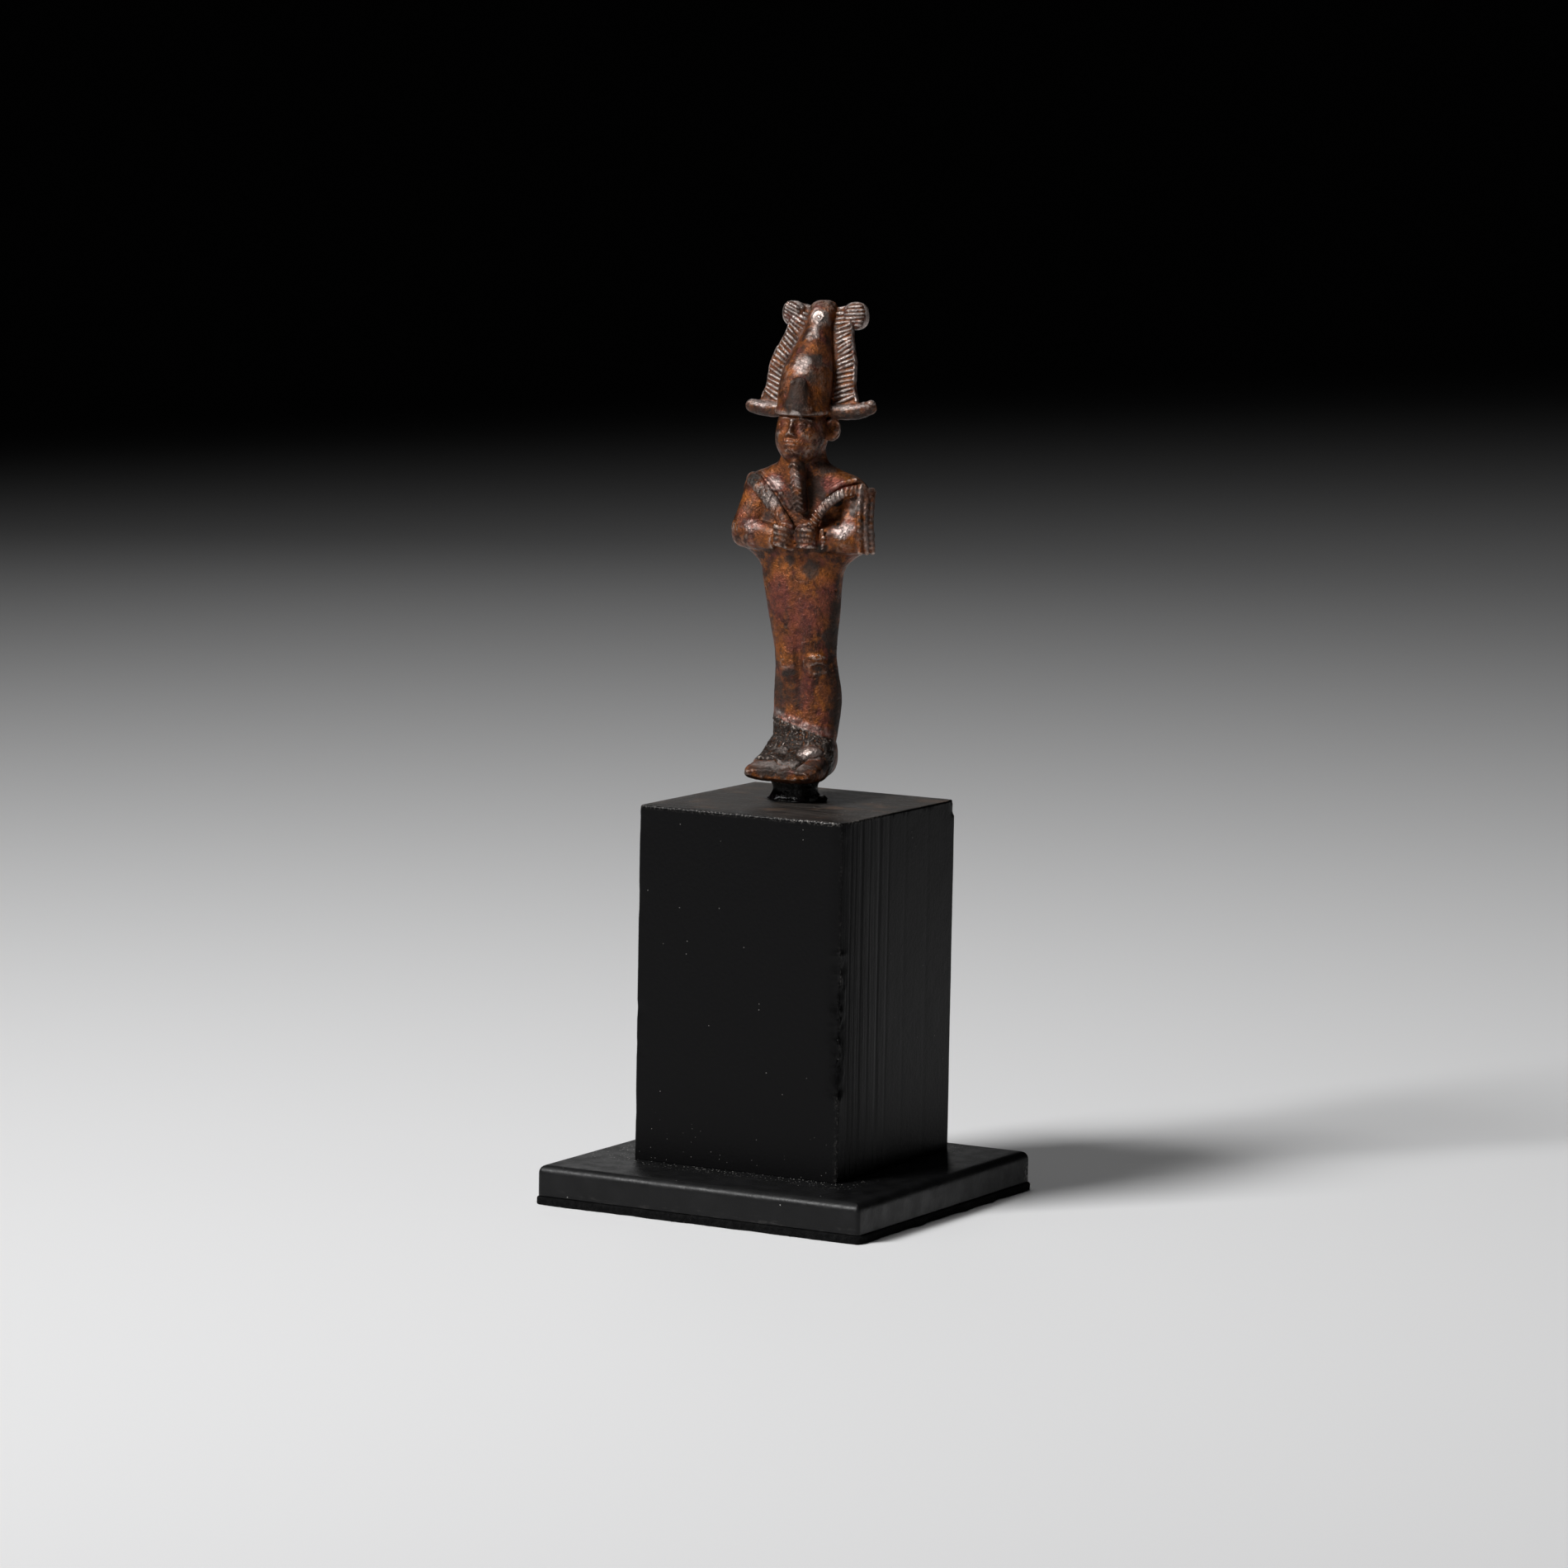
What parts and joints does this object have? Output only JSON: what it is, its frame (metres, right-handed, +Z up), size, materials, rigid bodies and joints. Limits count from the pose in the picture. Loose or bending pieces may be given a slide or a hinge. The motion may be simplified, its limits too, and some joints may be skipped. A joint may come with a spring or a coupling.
{
  "type": "statuette",
  "caption": "Small cast bronze Osiris in a tight shroud with plumed crown, crook and flail, puttied to a black wooden block on a felted base plate",
  "frame": {"origin": "middle of the felt pad's underside, where the statuette stands", "axes": "+Z up, the plinth's front face towards -Y, the figure's left hand towards +X"},
  "size_m": [0.048, 0.0466, 0.1151],
  "materials": {
    "worn_bronze": "worn, pitted, red-brown with orange, pink and grey patches",
    "black_putty": "set putty, glossy where it squeezed out",
    "black_wood": "satin black over planed wood, dusty",
    "black_lacquer": "satin black lacquer, scuffed at its edges",
    "black_felt": "napped felt"
  },
  "bodies": {
    "root": {"osiris_figure": "worn_bronze", "mounting_stub": "black_putty", "plinth_block": "black_wood", "base_plate": "black_lacquer", "felt_pad": "black_felt"}
  },
  "joints": []
}
